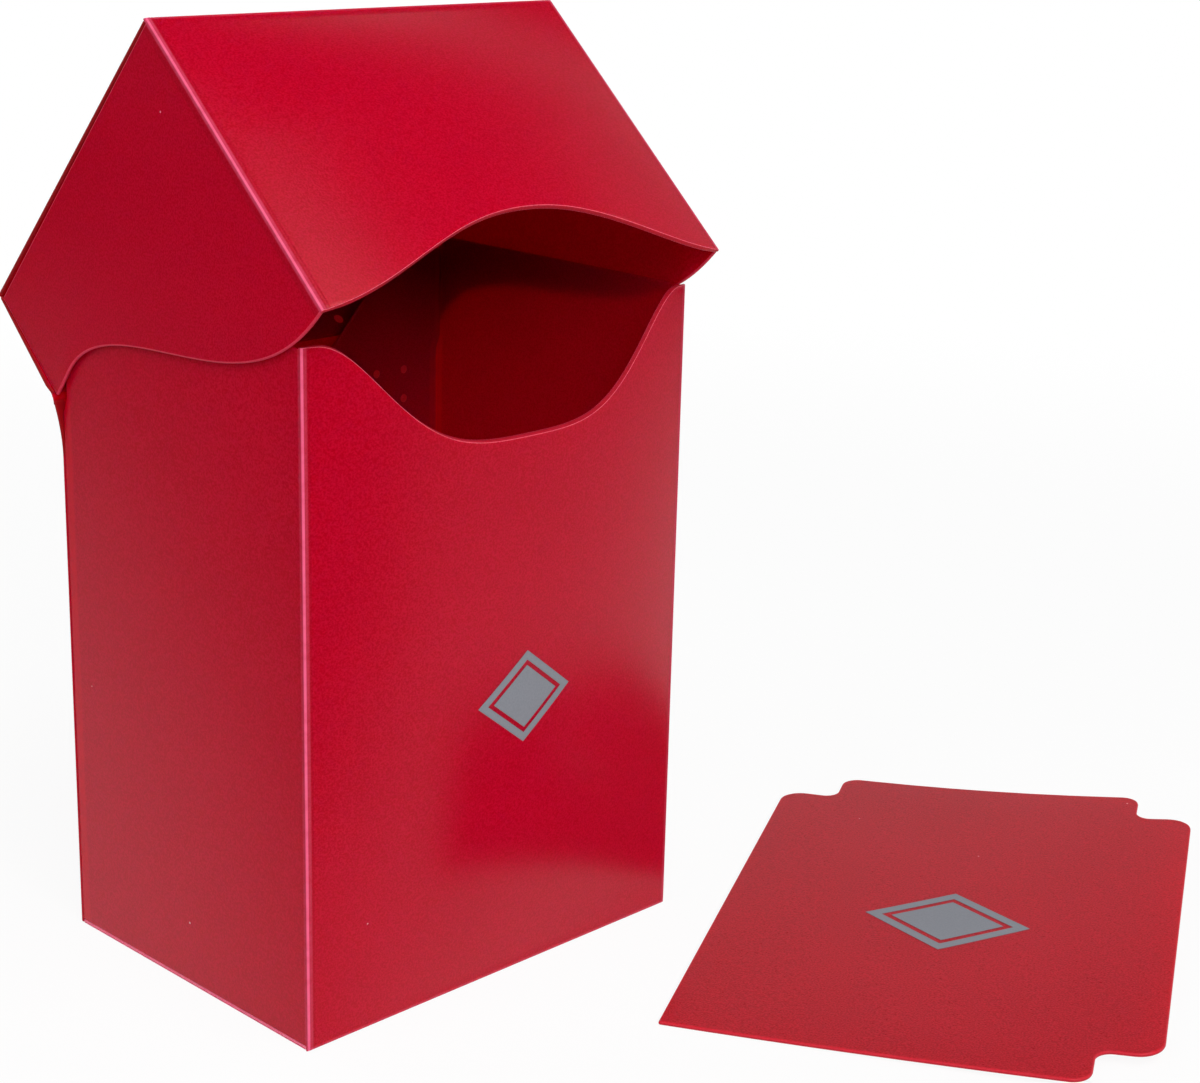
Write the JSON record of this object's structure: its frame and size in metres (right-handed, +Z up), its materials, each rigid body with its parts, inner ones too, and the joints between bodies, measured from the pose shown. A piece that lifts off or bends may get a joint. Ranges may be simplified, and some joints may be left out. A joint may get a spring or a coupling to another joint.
{
  "type": "card deck box",
  "caption": "Folded plastic deck box for sleeved cards, with a bowed front, thumb cut-out, living-hinged wave-edged lid, welded flaps and a loose notched card divider.",
  "frame": {"origin": "middle of the body's base, on the surface that the box stands on", "axes": "+X to the right as seen from the front, +Y towards the hinge at the back, +Z up"},
  "size_m": [0.1543, 0.1489, 0.1352],
  "materials": {
    "sheet": "satin translucent sheet with a fine grain",
    "flap_sheet": "the same sheet seen inside the box",
    "weld": "stress-whitened sheet at creases and weld spots",
    "divider_sheet": "satin sheet, a little duller than the box"
  },
  "bodies": {
    "box": {"front_panel": "sheet", "left_side_panel": "sheet", "right_side_panel": "sheet", "back_panel": "sheet", "bottom_panel": "sheet", "left_rear_flap": "flap_sheet", "right_rear_flap": "flap_sheet", "left_bottom_flap": "flap_sheet", "right_bottom_flap": "flap_sheet", "living_hinge": "weld", "rear_weld_spots": "weld", "bottom_weld_spots": "weld"},
    "lid": {"lid_back_strip": "sheet", "lid_top_panel": "sheet", "lid_front_panel": "sheet", "lid_left_side_panel": "sheet", "lid_right_side_panel": "sheet", "lid_left_top_flap": "flap_sheet", "lid_right_top_flap": "flap_sheet", "lid_left_back_flap": "flap_sheet", "lid_right_back_flap": "flap_sheet", "lid_joining_flap": "flap_sheet", "lid_top_weld_spots": "weld", "lid_back_weld_spots": "weld"},
    "divider": {"card_divider": "divider_sheet"}
  },
  "joints": [
    {"name": "lid_hinge", "type": "hinge", "parent": "box", "child": "lid", "pos_m": [0, 0.02725, 0.081], "axis": [-1, 0, 0], "range_deg": [-47.5, 122.5]},
    {"name": "divider_lift", "type": "slide", "parent": "box", "child": "divider", "axis": [0, 0, 1], "range_m": [0, 0.1]}
  ]
}
